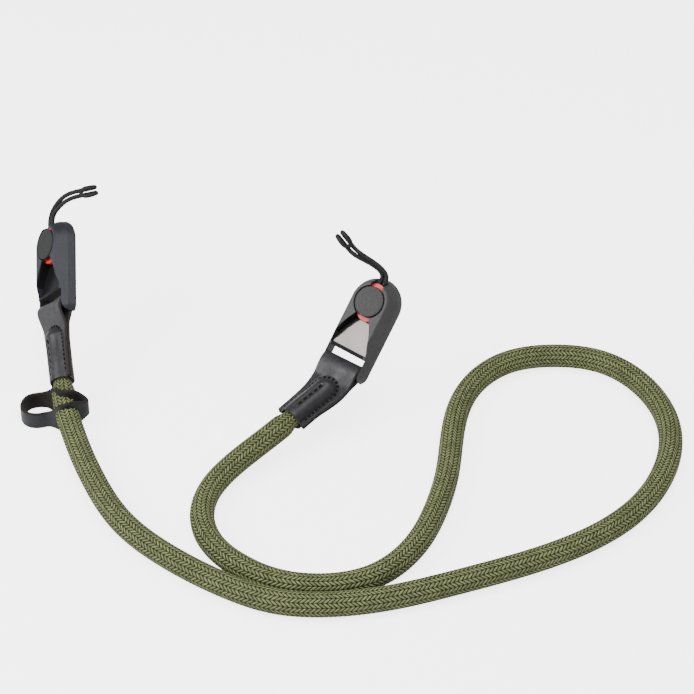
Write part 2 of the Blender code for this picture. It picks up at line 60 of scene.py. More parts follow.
camera.location = CAMERA_PLACE
camera.rotation_euler = (math.radians(CAMERA_TILT), 0.0, 0.0)
bpy.context.scene.collection.objects.link(camera)
bpy.context.scene.camera = camera


# Rope.
# A climbing-style rope 10.9 mm across, with a braided olive cover over a core. It lies in one wide
# S on the surface. Each end is squeezed to 8.4 mm and sewn inside a leather tab.
REST_HEIGHT = 0.076
ROPE_DIAMETER = 0.0109
ROPE_END_DIAMETER = 0.0084
ROPE_INSIDE = 0.022
ROPE_TAPER = 0.006
ROPE_COLUMNS = 16               # columns of strokes round the rope, slanting by turns
ROPE_STROKE = 0.00195           # from one stroke to the next along the rope
ROPE_SLANT = 1.25               # strokes that a slanted strand passes across its column
ROPE_YARNS = 4.0
ROPE_RELIEF = 0.00022
ROPE_ROWS = 3                   # rings of the mesh for each stroke
ROPE_SIDES = 4                  # sides of the mesh for each column
STROKE_ROUND = 0.9              # power of the half sine across a stroke
STROKE_DIP = 0.7                # how far a stroke's ends dive, and how suddenly
STROKE_DIVE = 2.5
CURVE_POINTS = 60               # close points of a smooth curve for each point given

# The rope's middle, given from inside the right tab to inside the left one
ROPE_ROUTE = [
    (-0.0083, -0.0417, -0.0559), (-0.0160, -0.0493, -0.0582), (-0.0237, -0.0568, -0.0605),
    (-0.0351, -0.0672, -0.0638), (-0.0490, -0.0796, -0.0678), (-0.0590, -0.0941, -0.0700),
    (-0.0620, -0.1113, -0.0705), (-0.0565, -0.1295, -0.0705), (-0.0445, -0.1429, -0.0705),
    (-0.0300, -0.1518, -0.0705), (-0.0100, -0.1555, -0.0705), (0.0120, -0.1503, -0.0705),
    (0.0305, -0.1318, -0.0705), (0.0410, -0.1075, -0.0705), (0.0472, -0.0810, -0.0705),
    (0.0510, -0.0500, -0.0705), (0.0610, -0.0200, -0.0705), (0.0790, -0.0028, -0.0705),
    (0.1000, 0.0017, -0.0705), (0.1220, -0.0026, -0.0705), (0.1425, -0.0240, -0.0705),
    (0.1499, -0.0570, -0.0705), (0.1440, -0.0830, -0.0705), (0.1280, -0.1090, -0.0705),
    (0.1070, -0.1268, -0.0705), (0.0810, -0.1406, -0.0705), (0.0500, -0.1528, -0.0705),
    (0.0200, -0.1627, -0.0705), (-0.0080, -0.1668, -0.0705), (-0.0290, -0.1647, -0.0705),
    (-0.0495, -0.1555, -0.0705), (-0.0740, -0.1385, -0.0705), (-0.0970, -0.1150, -0.0705),
    (-0.1110, -0.0890, -0.0705), (-0.1190, -0.0690, -0.0702), (-0.1242, -0.0540, -0.0690),
    (-0.1279, -0.0420, -0.0664), (-0.1303, -0.0290, -0.0615), (-0.1320, -0.0192, -0.0568),
    (-0.1336, -0.0094, -0.0520),
]


def smooth_curve(points):
    """Close points on the natural cubic spline through the given ones, and the distance along it.

    The spline's second derivatives solve the usual three-term equations between neighbours.
    """
    knots = np.asarray(points, float)
    step = np.linalg.norm(np.diff(knots[:, :3], axis=0), axis=1)
    place = np.concatenate(([0.0], np.cumsum(step)))
    size = len(knots)
    matrix = np.zeros((size, size))
    right = np.zeros((size, knots.shape[1]))
    matrix[0, 0] = matrix[-1, -1] = 1.0
    row = np.arange(1, size - 1)
    matrix[row, row - 1] = step[:-1]
    matrix[row, row] = 2 * (step[:-1] + step[1:])
    matrix[row, row + 1] = step[1:]
    slope = np.diff(knots, axis=0) / step[:, None]
    right[1:-1] = 6 * np.diff(slope, axis=0)
    bend = np.linalg.solve(matrix, right)
    fine = np.linspace(0.0, place[-1], CURVE_POINTS * size)
    k = np.clip(np.searchsorted(place, fine, side="right") - 1, 0, size - 2)
    width = step[k][:, None]
    after = (fine - place[k])[:, None]
    before = width - after
    curve = ((bend[k] * before ** 3 + bend[k + 1] * after ** 3) / (6 * width)
             + (knots[k] / width - bend[k] * width / 6) * before
             + (knots[k + 1] / width - bend[k + 1] * width / 6) * after)
    along = np.concatenate(([0.0], np.cumsum(np.linalg.norm(np.diff(curve[:, :3], axis=0), axis=1))))
    return curve, along


def at_distance(line, wanted):
    """Points of a smooth curve at the wanted distances, straight between its close points."""
    curve, along = line
    return np.stack([np.interp(wanted, along, column) for column in curve.T], axis=-1)


def unit(vectors):
    """Each vector divided by its own length."""
    return vectors / np.linalg.norm(vectors, axis=-1, keepdims=True)


def ease(values):
    """A smooth rise from 0 to 1 (three squares less two cubes), flat at both ends."""
    t = np.clip(values, 0.0, 1.0)
    return t * t * (3 - 2 * t)


def carried_axes(path, first_side):
    """Two axes square to a path, carried along it without twist.

    Each step drops from the last side axis its part along the new direction.
    """
    forward = unit(np.gradient(path, axis=0))
    side = np.empty_like(path)
    last = np.asarray(first_side, float)
    for row, ahead in enumerate(forward):
        last = last - last @ ahead * ahead
        last /= np.linalg.norm(last)
        side[row] = last
    return side, np.cross(forward, side)


def braid_height(around, along, slant):
    """Height from 0 to 1 of a braided cover at a place counted in columns and in strokes.

    Each stroke is a half sine across its strand, slanting by turns left and right, and it dips
    where it goes under the next column.
    """
    column = np.floor(around)
    x = around - column - 0.5
    turn = 1.0 - 2.0 * np.mod(column, 2.0)
    stroke = np.mod(along + turn * slant * x, 1.0)
    return np.sin(math.pi * stroke) ** STROKE_ROUND * (1.0 - STROKE_DIP * np.abs(2.0 * x) ** STROKE_DIVE)


def build_mesh(name, points, faces, uv=None, attributes=None):
    """A mesh from an array of points and a list of faces, with its map and its point values."""
    mesh = bpy.data.meshes.new(name)
    mesh.from_pydata(points.reshape(-1, 3).tolist(), [], faces)
    if uv is not None:
        mesh.uv_layers.new(name="UVMap").data.foreach_set("uv", np.asarray(uv, np.float32).ravel())
    for label, values in (attributes or {}).items():
        mesh.attributes.new(label, "FLOAT", "POINT").data.foreach_set("value", values.ravel())
    mesh.shade_smooth()
    mesh.validate()
    mesh.update()
    return mesh


def add_piece(name, mesh, material):
    """A piece of the strap: its object at the origin, riding on the one body."""
    piece = bpy.data.objects.new(name, mesh)
    bpy.context.scene.collection.objects.link(piece)
    mesh.materials.append(material)
    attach(piece, "root")
    return piece


def tube_mesh(name, path, radii, columns, first_side, stroke, relief=None):
    """A tube of rings square to its path, each as wide as its own radius, closed at both ends.

    The map runs round the tube from 0 to 1, and along it in strokes of the braid.
    """
    side, up = carried_axes(path, first_side)
    turn = np.linspace(0.0, 2 * math.pi, columns, endpoint=False)
    along = np.concatenate(([0.0], np.cumsum(np.linalg.norm(np.diff(path, axis=0), axis=1)))) / stroke
    radius = np.broadcast_to(np.asarray(radii, float)[:, None], (len(path), columns))
    if relief is not None:
        radius = radius + relief(turn[None, :] / (2 * math.pi), along[:, None])
    ring = np.cos(turn)[None, :, None] * side[:, None] + np.sin(turn)[None, :, None] * up[:, None]
    points = path[:, None] + radius[:, :, None] * ring
    index = np.arange(len(path) * columns).reshape(len(path), columns)
    after = np.roll(index, -1, axis=1)
    quads = np.stack([index[:-1], after[:-1], after[1:], index[1:]], axis=-1).reshape(-1, 4)
    start = np.tile(np.arange(columns) / columns, len(path) - 1)
    low = np.repeat(along[:-1], columns)
    high = np.repeat(along[1:], columns)
    end = start + 1.0 / columns
    uv = np.stack([np.stack([start, low], -1), np.stack([end, low], -1),
                   np.stack([end, high], -1), np.stack([start, high], -1)], axis=1).reshape(-1, 2)
    faces = quads.tolist() + [index[0][::-1].tolist(), index[-1].tolist()]
    return build_mesh(name, points, faces, np.concatenate((uv, np.zeros((2 * columns, 2)))))


class Graph:
    """Short calls that add nodes to a material or a node group and join them."""

    def __init__(self, tree):
        self.tree = tree

    def node(self, kind, **values):
        """A node with its own settings."""
        made = self.tree.nodes.new(kind)
        for label, value in values.items():
            setattr(made, label, value)
        return made

    def feed(self, socket, value):
        """Joins a link to a socket, or sets the socket's own value."""
        if isinstance(value, bpy.types.NodeSocket):
            self.tree.links.new(value, socket)
        else:
            socket.default_value = value

    def math(self, operation, *values):
        """One step of arithmetic."""
        made = self.node("ShaderNodeMath", operation=operation)
        for socket, value in zip(made.inputs, values):
            self.feed(socket, value)
        return made.outputs[0]

    def mix(self, share, first, second):
        """One colour turning into another by a share from 0 to 1."""
        made = self.node("ShaderNodeMix", data_type="RGBA")
        self.feed(made.inputs["Factor"], share)
        self.feed(made.inputs["A"], first)
        self.feed(made.inputs["B"], second)
        return made.outputs["Result"]

    def scale(self, value, low, high, to_low, to_high):
        """A value moved from one range to another, and held inside it."""
        made = self.node("ShaderNodeMapRange")
        for socket, number in zip(made.inputs, (value, low, high, to_low, to_high)):
            self.feed(socket, number)
        return made.outputs[0]

    def noise(self, vector, scale, detail=2.0, roughness=0.5):
        """Soft noise from 0 to 1, with so many features a metre."""
        made = self.node("ShaderNodeTexNoise")
        self.feed(made.inputs["Vector"], vector)
        made.inputs["Scale"].default_value = scale
        made.inputs["Detail"].default_value = detail
        made.inputs["Roughness"].default_value = roughness
        return made.outputs["Fac"]

    def bump(self, height, strength, distance, normal=None):
        """A surface normal from a height in metres."""
        made = self.node("ShaderNodeBump")
        made.inputs["Strength"].default_value = strength
        made.inputs["Distance"].default_value = distance
        self.feed(made.inputs["Height"], height)
        if normal is not None:
            self.feed(made.inputs["Normal"], normal)
        return made.outputs["Normal"]

    def group(self, tree, **values):
        """A placed copy of a shared node group."""
        made = self.node("ShaderNodeGroup", node_tree=tree)
        for label, value in values.items():
            self.feed(made.inputs[label], value)
        return made.outputs


def new_group(name, inputs, outputs):
    """An empty node group with number inputs, one vector input, and number outputs."""
    tree = bpy.data.node_groups.new(name, "ShaderNodeTree")
    tree.interface.new_socket("Vector", in_out="INPUT", socket_type="NodeSocketVector")
    for label, value in inputs.items():
        socket = tree.interface.new_socket(label, in_out="INPUT", socket_type="NodeSocketFloat")
        socket.default_value = value
    for label in outputs:
        tree.interface.new_socket(label, in_out="OUTPUT", socket_type="NodeSocketFloat")
    graph = Graph(tree)
    return tree, graph, graph.node("NodeGroupInput").outputs, graph.node("NodeGroupOutput").inputs


def new_material(name, roughness, specular, sheen=0.0):
    """A Principled material with its plain values, its graph and its shader's inputs."""
    material = bpy.data.materials.new(name)
    material.use_nodes = True
    shader = material.node_tree.nodes["Principled BSDF"]
    shader.inputs["Roughness"].default_value = roughness
    shader.inputs["Specular IOR Level"].default_value = specular
    shader.inputs["Sheen Weight"].default_value = sheen
    return material, Graph(material.node_tree), shader.inputs


def make_braid_group():
    """The braid of braid_height as nodes, with yarn lines along each stroke and a random value for it."""
    tree, g, given, result = new_group(
        "braid cover",
        {"Columns": float(ROPE_COLUMNS), "Slant": ROPE_SLANT, "Yarns": ROPE_YARNS},
        ["Height", "GapShade", "Strand", "Yarn"],
    )
    place = g.node("ShaderNodeSeparateXYZ")
    g.feed(place.inputs[0], given["Vector"])
    around = g.math("MULTIPLY", place.outputs["X"], given["Columns"])
    column = g.math("FLOOR", around)
    x = g.math("SUBTRACT", g.math("SUBTRACT", around, column), 0.5)
    turn = g.math("SUBTRACT", 1.0, g.math("MULTIPLY", g.math("FLOORED_MODULO", column, 2.0), 2.0))
    lean = g.math("MULTIPLY", g.math("MULTIPLY", turn, given["Slant"]), x)
    phase = g.math("ADD", place.outputs["Y"], lean)
    stroke = g.math("FRACT", phase)
    wave = g.math("MAXIMUM", g.math("SINE", g.math("MULTIPLY", stroke, math.pi)), 0.0)
    hump = g.math("POWER", wave, STROKE_ROUND)
    ends = g.math("POWER", g.math("ABSOLUTE", g.math("MULTIPLY", x, 2.0)), STROKE_DIVE)
    height = g.math("MULTIPLY", hump, g.math("SUBTRACT", 1.0, g.math("MULTIPLY", ends, STROKE_DIP)))
    name = g.node("ShaderNodeCombineXYZ")
    g.feed(name.inputs["X"], column)
    g.feed(name.inputs["Y"], g.math("FLOOR", phase))
    own = g.node("ShaderNodeTexWhiteNoise", noise_dimensions="2D")
    g.feed(own.inputs["Vector"], name.outputs[0])
    lines = g.math("MULTIPLY", g.math("MULTIPLY", stroke, given["Yarns"]), 2 * math.pi)
    g.feed(result["Height"], height)
    # Where shade is painted: 1 deep in the gaps between strands, 0 on their crowns
    g.feed(result["GapShade"], g.scale(height, 0.74, 0.26, 0.0, 1.0))
    g.feed(result["Strand"], own.outputs["Value"])
    g.feed(result["Yarn"], g.math("MULTIPLY", g.math("ADD", g.math("COSINE", lines), 1.0), 0.5))
    return tree


BRAID = make_braid_group()


def make_rope_material():
    """Dull olive polyester yarn, each stroke with its own shade; painted shade where strands dive."""
    material, g, shader = new_material("braided_cord_olive", 0.72, 0.25)
    mapping = g.node("ShaderNodeUVMap", uv_map="UVMap").outputs["UV"]
    braid = g.group(BRAID, Vector=mapping, Columns=float(ROPE_COLUMNS), Slant=ROPE_SLANT, Yarns=ROPE_YARNS)
    place = g.node("ShaderNodeTexCoord").outputs["Object"]
    fibre = g.noise(place, 2600.0, 3.0, 0.6)
    patch = g.noise(place, 45.0, 2.0)
    light = (0.268, 0.295, 0.125, 1.0)
    middle = (0.085, 0.101, 0.035, 1.0)
    # Near black: painted shade for the gaps where the strands dive under each other
    deep = (0.006, 0.008, 0.003, 1.0)
    tone = g.math("ADD", g.math("MULTIPLY", braid["Strand"], 0.55), g.math("MULTIPLY", fibre, 0.45))
    yarn = g.mix(tone, middle, light)
    lines = g.mix(g.math("MULTIPLY", braid["Yarn"], 0.35), yarn, middle)
    faded = g.mix(g.scale(patch, 0.35, 0.65, 0.0, 0.18), lines, light)
    g.feed(shader["Base Color"], g.mix(braid["GapShade"], faded, deep))
    g.feed(shader["Roughness"], g.scale(fibre, 0.3, 0.7, 0.62, 0.85))
    relief = g.bump(braid["Height"], 1.0, 0.00035)
    g.feed(shader["Normal"], g.bump(g.math("ADD", braid["Yarn"], fibre), 0.5, 0.00005, relief))
    return material


rope_line = smooth_curve(ROPE_ROUTE)
rope_length = rope_line[1][-1]
rope_rows = ROPE_ROWS * int(round(rope_length / ROPE_STROKE)) + 1
rope_along = np.linspace(0.0, rope_length, rope_rows)
rope_path = at_distance(rope_line, rope_along)
rope_from_end = np.minimum(rope_along, rope_length - rope_along)
rope_open = ease((rope_from_end - ROPE_INSIDE) / ROPE_TAPER)
rope_radii = (ROPE_END_DIAMETER + (ROPE_DIAMETER - ROPE_END_DIAMETER) * rope_open) / 2
rope = add_piece("rope_cover", tube_mesh(
    "rope_cover", rope_path, rope_radii - ROPE_RELIEF / 2, ROPE_SIDES * ROPE_COLUMNS, (0, 0, 1), ROPE_STROKE,
    relief=lambda u, v: ROPE_RELIEF * braid_height(u * ROPE_COLUMNS, v, ROPE_SLANT),
), make_rope_material())
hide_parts("rope")


# Lug cords.
# A doubled black cord 2.1 mm across at each end. Both strands come out of the anchor disc, and the
# loop closes in a lark's head on a hole of 2.4 mm: over it, round it, and back over its own strands.
CORD_DIAMETER = 0.0021
CORD_GAP = 0.0003
CORD_STROKE = 0.0009
CORD_COLUMNS = 8.0
CORD_ROWS = 420
CORD_SIDES = 16
CORD_SINK = 0.3                 # how far the strands' foot lies behind the knot, in diameters
LUG_HOLE = 0.0024
HOUSING_WIDTH = 0.0252
HOUSING_THICKNESS = 0.0098
POCKET_DEPTH = 0.0044
RING_HALF_LENGTH = 0.0092
RING_LAYER = 0.0016

# For each end: the housing's middle and its directions down the strap and across; the middle of the
# knot's hole, the way that the strands leave it, the hole's own line, the knot's stem and the cord's bow
ENDS = {
    "right": dict(place=(0.0140, -0.0148, -0.0265), down=(-0.447, -0.524, -0.725),
                  across=(0.783, -0.621, -0.034), lug=(0.0, 0.0, 0.0), leave=(0.62, -0.35, -0.70),
                  bar=(0.85, 0.30, 0.40), stem=0.0066, bow=(0.0010, 0.0005, 0.0007)),
    "left": dict(place=(-0.1368, 0.0295, -0.0262), down=(0.047, -0.858, -0.512),
                 across=(0.572, -0.397, 0.718), lug=(-0.1185, 0.0375, 0.0), leave=(-0.97, -0.05, -0.22),
                 bar=(0.17, -0.40, -0.61), stem=0.0080, bow=(-0.0019, 0.0010, 0.0013)),
}


def end_frame(end):
    """A housing's axes as columns (across, up the strap, out of the face) and its place."""
    down = unit(np.array(end["down"]))
    across = np.array(end["across"])
    across = unit(across - across @ down * down)
    return np.stack([across, -down, np.cross(across, -down)], axis=1), np.array(end["place"])


def lug_cord_route(end):
    """Up one strand from the disc, through the lark's head and down the other strand."""
    axes, centre = end_frame(end)
    lug = np.array(end["lug"])
    leave = unit(np.array(end["leave"]))
    bar = np.array(end["bar"])
    bar = unit(bar - bar @ leave * leave)
    front = np.cross(bar, leave)
    front = front if front[2] > 0 else -front
    level = HOUSING_THICKNESS / 2 - POCKET_DEPTH + CORD_GAP + RING_LAYER / 2
    start = centre + axes @ (0, RING_HALF_LENGTH + CORD_GAP, level)
    rim = centre + axes @ (0, HOUSING_WIDTH / 2, level)
    foot = lug + end["stem"] * leave - CORD_SINK * CORD_DIAMETER * front
    middle = (rim + foot) / 2 + np.array(end["bow"])
    offset = (CORD_DIAMETER + CORD_GAP) / 2
    first = []
    second = []
    for place, share in [(start, 0.0), (rim, 0.0), (middle, 0.5), (foot, 0.9)]:
        spread = unit((1 - share) * axes[:, 0] + share * bar) * offset
        first.append(place + spread)
        second.append(place - spread)
    wrap = (LUG_HOLE + CORD_DIAMETER) / 2

    # Each place of the knot is given along the hole, along the strands and towards the front
    head = [(1.0, 1.75, -0.75), (1.0, 0.55, -1.0), (1.05, -0.70, -0.70), (1.2, -1.0, 0.0),
            (1.4, -0.45, 0.85), (1.5, 0.55, 1.05), (1.3, 1.35, 0.85), (0.75, 1.85, 0.65)]
    turned = head + [(0.0, 2.0, 0.6)] + [(-b, d, f) for b, d, f in reversed(head)]
    loop = [lug + b * offset * bar + d * wrap * leave + f * wrap * front for b, d, f in turned]
    return np.array(first + loop + second[::-1])


def make_cord_material():
    """Black waxed polyester braid, fine and close, with a dull shine."""
    material, g, shader = new_material("cord_black", 0.6, 0.3)
    mapping = g.node("ShaderNodeUVMap", uv_map="UVMap").outputs["UV"]
    braid = g.group(BRAID, Vector=mapping, Columns=CORD_COLUMNS, Slant=1.0, Yarns=3.0)
    tone = g.mix(braid["Strand"], (0.008, 0.008, 0.009, 1.0), (0.022, 0.021, 0.023, 1.0))
    # The gaps between strands are painted a deeper black, as painted shade
    g.feed(shader["Base Color"], g.mix(braid["GapShade"], tone, (0.004, 0.004, 0.005, 1.0)))
    g.feed(shader["Normal"], g.bump(braid["Height"], 0.9, 0.00012))
    return material


cord_finish = make_cord_material()
for side_name, side_end in ENDS.items():
    cord_line = smooth_curve(lug_cord_route(side_end))
    cord_path = at_distance(cord_line, np.linspace(0.0, cord_line[1][-1], CORD_ROWS))
    cord_radii = np.full(len(cord_path), CORD_DIAMETER / 2)
    cord = add_piece(f"lug_loop_{side_name}", tube_mesh(
        f"lug_loop_{side_name}", cord_path, cord_radii, CORD_SIDES, end_frame(side_end)[0][:, 2], CORD_STROKE,
    ), cord_finish)
    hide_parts(f"lug_cord_{side_name}")


# Floor and light.
# A plain pale floor, brightened for the camera alone. A small softbox stands on the left, where the
# right-hand ramp plate mirrors it, and two wide panels overhead fill from the front and the right.
FLOOR_HALF = 6.0
FLOOR_GAP = 0.0001
FLOOR_GLOW = 3.4
ROOM_STRENGTH = 0.42
floor_corners = [(x * FLOOR_HALF, y * FLOOR_HALF, -REST_HEIGHT - FLOOR_GAP)
                 for x, y in ((-1, -1), (1, -1), (1, 1), (-1, 1))]
floor_mesh = bpy.data.meshes.new("floor")
floor_mesh.from_pydata(floor_corners, [], [(0, 1, 2, 3)])
floor = bpy.data.objects.new("floor", floor_mesh)
bpy.context.scene.collection.objects.link(floor)
floor_finish, floor_graph, floor_shader = new_material("pale_floor", 0.8, 0.2)
floor_tone = floor_graph.noise(floor_graph.node("ShaderNodeTexCoord").outputs["Object"], 3.0)
floor_graph.feed(floor_shader["Base Color"],
                 floor_graph.mix(floor_tone, (0.90, 0.90, 0.905, 1.0), (0.93, 0.93, 0.93, 1.0)))
floor_seen = floor_graph.node("ShaderNodeLightPath").outputs["Is Camera Ray"]
floor_graph.feed(floor_shader["Emission Color"],
                 floor_graph.mix(floor_seen, (0.0, 0.0, 0.0, 1.0), (1.0, 1.0, 1.0, 1.0)))
floor_shader["Emission Strength"].default_value = FLOOR_GLOW
floor_mesh.materials.append(floor_finish)


def add_panel(name, place, target, side, radiance):
    """A square soft panel that faces its target; its power is radiance times pi times its area."""
    data = bpy.data.lights.new(name, "AREA")
    data.shape = "SQUARE"
    data.size = side
    data.energy = radiance * math.pi * side * side
    lamp = bpy.data.objects.new(name, data)
    lamp.location = place
    lamp.rotation_euler = (Vector(target) - Vector(place)).to_track_quat("-Z", "Y").to_euler()
    bpy.context.scene.collection.objects.link(lamp)


add_panel("softbox_left", (-0.688, -0.253, 0.505), target=(0.0, -0.03, -0.03), side=0.42, radiance=12.5)
add_panel("panel_front", (0.00, -0.60, 1.02), target=(0.0, -0.05, -0.05), side=0.9, radiance=3.8)
add_panel("panel_right", (0.32, 0.04, 1.12), target=(0.05, -0.05, -0.05), side=0.8, radiance=4.0)
world = bpy.data.worlds.new("room")
world.use_nodes = True
world.node_tree.nodes["Background"].inputs["Color"].default_value = (1.0, 1.0, 1.0, 1.0)
world.node_tree.nodes["Background"].inputs["Strength"].default_value = ROOM_STRENGTH
bpy.context.scene.world = world


# Leather tabs.
# One strip of black leather at each end. It goes round the bar of the housing, its two layers meet
# and are sewn flat, and they bulge over the end of the rope, with a sunk seam down the middle.
BAR_DROP = 0.0324
TAB_INNER = 0.00249             # inside of the loop round the bar
TAB_WALL = 0.00140
TAB_WIDTH = 0.0196
TAB_END_WIDTH = 0.0155
TAB_MEET = 0.27                 # share of the way from the bar to where the layers meet
TAB_SLIT = 0.00005
BULGE_START = 0.37              # share of the way to the centre of the bulge's round front
BULGE_FRONT = 0.0046
BULGE_HALF = 0.0059
BULGE_HIGH = 0.00445
BULGE_ROUND = 0.72
GROOVE_DEEP = 0.00105
GROOVE_HALF = 0.00085
GROOVE_FROM = 0.02              # past the start of the bulge, as a share of the way
GROOVE_TO = 0.95
GROOVE_FADE = 0.06
SEAM_DEEP = 0.00040
SEAM_HALF = 0.00050
SEAM_AHEAD = 0.0009             # from the bulge's front to the seam round it
SEAM_END = 0.955
TAPER_FROM = 0.10
TAPER_LONG = 0.75
TAB_ROWS = 120
TAB_COLUMNS = 81
EDGE_CROWD = 0.35               # how much closer the columns stand at the edges
FOLD_ROWS = 24
LEG_POINTS = 12
STITCH_STEP = 0.0023
STITCH_LINE = 0.0063            # from the middle to each leg of the seam
CENTRE_STEP = 0.0033
CENTRE_FROM = 0.03
CENTRE_TO = 0.93
CENTRE_LEAN = 0.00030
STITCH_SHARE = 0.82             # of each step that its thread covers
STITCH_ROWS = 7
STITCH_SIDES = 8
THREAD = 0.00095
THREAD_ARCH = 0.75              # how high a stitch stands and how low it starts, in threads
THREAD_SINK = 0.45
THREAD_TIP = 0.03               # how soon a stitch is cut off, and how bluntly it ends
THREAD_TAPER = 0.35
THREAD_WIDE = 1.15
THREAD_LOW = 0.8
EDGE_ANGLES = (60.0, 25.0, -25.0, -60.0)
EDGE_REACH = 0.8                # of half the wall, by which a cut edge is rounded


def tab_inside(share, x, length):
    """Height of a layer's inner face over the tab's middle, at a share of the way and a place across.

    It opens to the loop at the bar, closes to a thin slit, and rises over the rope: the bulge is a
    power of one less the square of the distance from a line, so its front is round.
    """
    opening = TAB_SLIT + (TAB_INNER - TAB_SLIT) * (1 - ease(share / TAB_MEET))
    before = np.maximum(BULGE_START - share, 0.0) * length / BULGE_FRONT
    distance = (x / BULGE_HALF) ** 2 + before ** 2
    bulge = BULGE_HIGH * np.maximum(1 - distance, 0.0) ** BULGE_ROUND
    past = share - BULGE_START - GROOVE_FROM
    groove = ease(past / GROOVE_FADE) * ease((GROOVE_TO - share) / GROOVE_FADE)
    bulge = bulge - GROOVE_DEEP * groove * np.exp(-(x / GROOVE_HALF) ** 2)
    return (opening ** 3 + np.maximum(bulge, 0.0) ** 3) ** (1 / 3)


def tab_outside(share, x, length):
    """Height of a layer's outer face over the tab's middle: the inner face, the leather and the seam.

    The seam is a soft groove along a line of two legs and a half ellipse round the bulge's front.
    """
    before = np.maximum(BULGE_START - share, 0.0) * length / (BULGE_FRONT + SEAM_AHEAD)
    off = (np.sqrt((x / STITCH_LINE) ** 2 + before ** 2) - 1.0) * STITCH_LINE
    return tab_inside(share, x, length) + TAB_WALL - SEAM_DEEP * np.exp(-(off / SEAM_HALF) ** 2)


def tab_axes(tab, share):
    """The middle of a tab and its axes across and through the leather, at shares of its length."""
    place = tab["start"] + np.asarray(share) * tab["length"]
    behind = at_distance(tab["middle"], place - TAB_WALL)
    centre = at_distance(tab["middle"], place)
    ahead = at_distance(tab["middle"], place + TAB_WALL)
    forward = unit(ahead - behind)
    wide = unit(tab["across"] - (forward @ tab["across"])[..., None] * forward)
    return centre, wide, np.cross(wide, -forward)


def tab_half_width(share):
    """Half the width of a tab at shares of its length: full at the bar, and narrower at the rope."""
    return (TAB_WIDTH + (TAB_END_WIDTH - TAB_WIDTH) * ease((share - TAPER_FROM) / TAPER_LONG)) / 2


def tab_layer(tab, share, columns, height_of, turn):
    """A face of one layer: middle, plus across times the place, plus the height on its own side."""
    centre, wide, through = tab_axes(tab, share)
    x = tab_half_width(share)[:, None] * columns[None, :]
    height = turn * height_of(share[:, None], x, tab["length"])
    return centre[:, None] + x[..., None] * wide[:, None] + height[..., None] * through[:, None]


def tab_fold(tab, columns, radius, turns):
    """The loop round the bar: half a circle of one radius, from the lower layer to the upper one."""
    centre, wide, through = tab_axes(tab, np.array([0.0]))
    back = np.cross(through[0], wide[0])
    ring = np.sin(turns)[:, None] * through[0] + np.cos(turns)[:, None] * back
    x = columns * TAB_WIDTH / 2
    return centre[0] + x[None, :, None] * wide[0] + radius * ring[:, None]


def strip_mesh(name, outer, inner, closed):
    """A leather strip from its outer and inner faces, with half-round edges.

    Each row of points runs over the outer face, round one edge, back over the inner face and
    round the other edge. The value "face" is 0 outside, 1 inside and a half on the edges.
    """
    rows, columns = outer.shape[:2]
    middle = (outer + inner) / 2
    wall = np.linalg.norm(outer - inner, axis=2) / 2
    normal = unit(outer - inner)
    angles = np.radians(EDGE_ANGLES)
    last = unit(middle[:, -1] - middle[:, -2])
    first = unit(middle[:, 0] - middle[:, 1])

    def edge(centre, out, up, half, order):
        """A half-round edge: up by the sine of each angle and out by its cosine, times half the wall."""
        lift = np.sin(order)[None, :, None] * up[:, None] * half[:, None, None]
        reach = np.cos(order)[None, :, None] * out[:, None] * half[:, None, None] * EDGE_REACH
        return centre[:, None] + lift + reach

    far = edge(middle[:, -1], last, normal[:, -1], wall[:, -1], angles)
    near = edge(middle[:, 0], first, normal[:, 0], wall[:, 0], -angles)
    points = np.concatenate((outer, far, inner[:, ::-1], near), axis=1)
    around = points.shape[1]
    index = np.arange(rows * around).reshape(rows, around)
    lower = index if closed else index[:-1]
    upper = np.roll(index, -1, axis=0)[:len(lower)]
    quads = np.stack([lower, np.roll(lower, -1, axis=1), np.roll(upper, -1, axis=1), upper], axis=-1)
    faces = quads.reshape(-1, 4).tolist()
    if not closed:
        top = np.arange(columns)
        under = 2 * columns + len(angles) - 1 - top
        for row, flip in ((0, 1), (rows - 1, -1)):
            cap = np.stack([index[row][top[1:]], index[row][top[:-1]],
                            index[row][under[:-1]], index[row][under[1:]]], axis=-1)
            round_far = index[row][columns - 1:columns + len(angles) + 1]
            round_near = np.append(index[row][2 * columns + len(angles) - 1:], index[row][0])
            faces += cap[:, ::flip].tolist()
            faces += [round_far[::-flip].tolist(), round_near[::-flip].tolist()]
    edges = np.full(len(angles), 0.5)
    value = np.concatenate((np.zeros(columns), edges, np.ones(columns), edges))
    face = np.broadcast_to(value, (rows, around)).astype(np.float32)
    return build_mesh(name, points, faces, attributes={"face": np.ascontiguousarray(face)})


def stitch_mesh(name, starts, ends, normals):
    """Short stitches: each a thin thread that arches from one hole to the next and dips at both.

    Along a stitch the height is a sine, and its section is a slightly flattened circle.
    """
    t = np.linspace(0.0, 1.0, STITCH_ROWS)
    turn = np.linspace(0.0, 2 * math.pi, STITCH_SIDES, endpoint=False)
    ahead = unit(ends - starts)
    aside = unit(np.cross(ahead, normals))
    up = np.cross(aside, ahead)
    centre = starts[:, None] + t[None, :, None] * (ends - starts)[:, None]
    arch = THREAD * (THREAD_ARCH * np.sin(math.pi * t) - THREAD_SINK)
    centre = centre + arch[None, :, None] * up[:, None]
    thick = THREAD / 2 * np.sin(math.pi * np.clip(t, THREAD_TIP, 1 - THREAD_TIP)) ** THREAD_TAPER
    wide = THREAD_WIDE * np.cos(turn)[None, :, None] * aside[:, None]
    ring = wide + THREAD_LOW * np.sin(turn)[None, :, None] * up[:, None]
    points = centre[:, :, None] + thick[None, :, None, None] * ring[:, None]
    count, rows, around = points.shape[:3]
    index = np.arange(count * rows * around).reshape(count, rows, around)
    after = np.roll(index, -1, axis=2)
    quads = np.stack([index[:, :-1], index[:, 1:], after[:, 1:], after[:, :-1]], axis=-1).reshape(-1, 4)
    faces = quads.tolist() + index[:, 0].tolist() + index[:, -1, ::-1].tolist()
    return build_mesh(name, points, faces)


